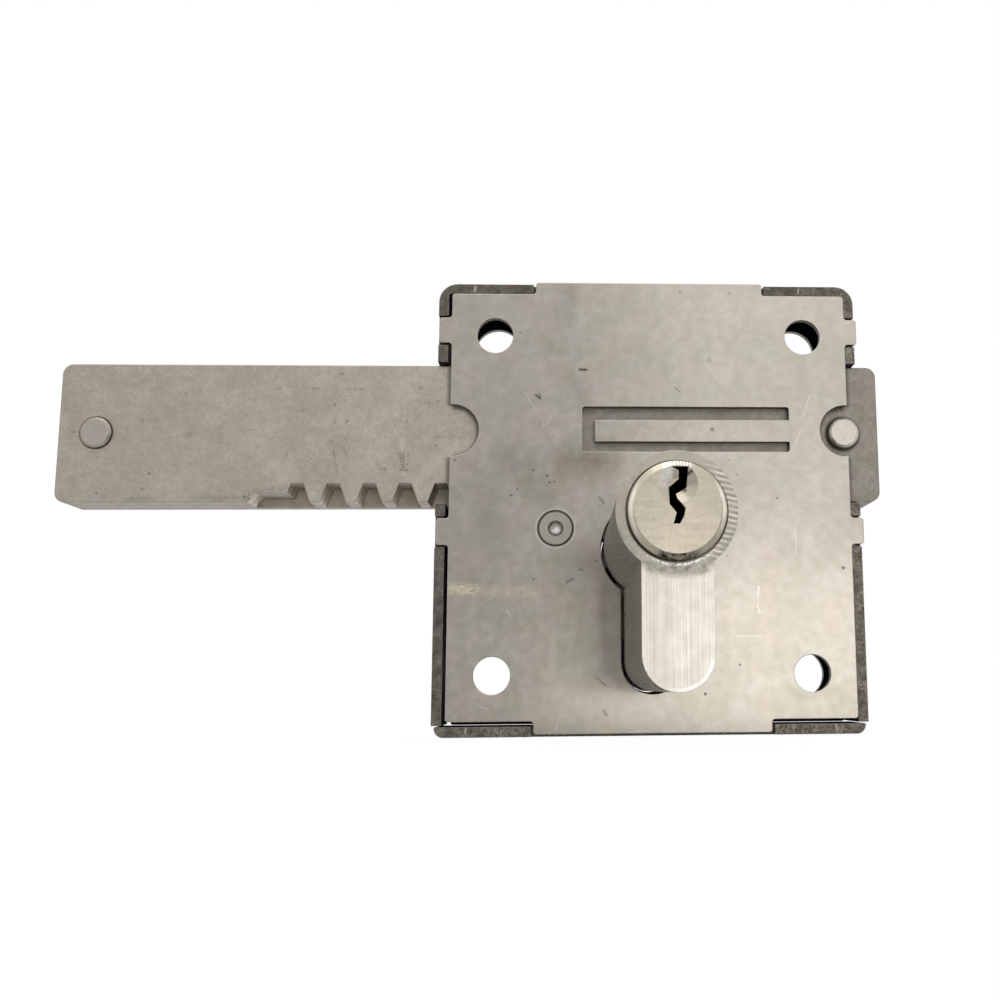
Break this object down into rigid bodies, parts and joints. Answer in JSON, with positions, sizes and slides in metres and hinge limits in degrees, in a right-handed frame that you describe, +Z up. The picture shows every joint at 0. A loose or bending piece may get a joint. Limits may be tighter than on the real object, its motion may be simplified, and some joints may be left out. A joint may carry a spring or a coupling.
{
  "type": "gate deadbolt",
  "caption": "Flat-cased gate deadbolt: a key turns a geared profile cylinder that drives a laminated steel bolt through a rack.",
  "frame": {"origin": "centre of the four fixing holes, on the front plate's outer face", "axes": "+X to the right along the bolt, away from its thrown end; +Y into the case, away from the key side; +Z up"},
  "size_m": [0.145, 0.094, 0.0802],
  "materials": {
    "front_plate": "satin stainless steel, laser-cut",
    "back_plate": "satin stainless steel, laser-cut",
    "mill_scale": "hot-rolled steel with dark mill scale",
    "pillar_steel": "turned stainless steel",
    "screw_steel": "machined stainless steel",
    "bolt_steel": "fine-grained stainless steel",
    "pin_steel": "ground stainless steel",
    "satin_nickel": "satin nickel plate on brass",
    "plug_nickel": "satin nickel plate on brass",
    "cam_steel": "sintered steel",
    "clutch_steel": "sintered steel",
    "spring_steel": "phosphated spring steel",
    "pin_brass": "turned brass",
    "bronze_wire": "drawn bronze wire"
  },
  "bodies": {
    "case": {"front_plate": "front_plate", "back_plate": "back_plate", "case_band": "mill_scale", "bottom_strip": "mill_scale", "spacer_pillar": "pillar_steel", "case_screws": "screw_steel", "cylinder_body": "satin_nickel", "front_driver_pins": "pin_brass", "back_driver_pins": "pin_brass", "front_springs": "bronze_wire", "back_springs": "bronze_wire", "front_stoppers": "pin_brass", "back_stoppers": "pin_brass"},
    "bolt": {"bolt_front_layer": "bolt_steel", "bolt_middle_layer": "bolt_steel", "bolt_rear_layer": "bolt_steel", "nose_pin": "pin_steel", "stop_pin": "pin_steel"},
    "gear": {"gear_cam": "cam_steel", "front_clutch": "clutch_steel"},
    "front_key_plug": {"front_plug": "plug_nickel", "front_circlip": "spring_steel", "front_key_pins": "pin_brass"},
    "back_key_plug": {"back_plug": "plug_nickel", "back_clutch": "clutch_steel", "back_circlip": "spring_steel", "back_key_pins": "pin_brass"}
  },
  "joints": [
    {"name": "bolt_slide", "type": "slide", "parent": "case", "child": "bolt", "axis": [1, 0, 0], "range_m": [0, 0.0628]},
    {"name": "gear_turn", "type": "hinge", "parent": "case", "child": "gear", "pos_m": [0, 0, -0.00835], "axis": [0, 1, 0], "range_deg": [0, 360]},
    {"name": "front_plug_turn", "type": "hinge", "parent": "case", "child": "front_key_plug", "pos_m": [0, 0, -0.00835], "axis": [0, 1, 0], "range_deg": [0, 360]},
    {"name": "back_plug_turn", "type": "hinge", "parent": "case", "child": "back_key_plug", "pos_m": [0, 0, -0.00835], "axis": [0, 1, 0], "range_deg": [0, 360]}
  ],
  "couplings": [
    {"joint": "gear_turn", "follows": "bolt_slide", "rad_per_m": 100},
    {"joint": "front_plug_turn", "follows": "bolt_slide", "rad_per_m": 100}
  ]
}
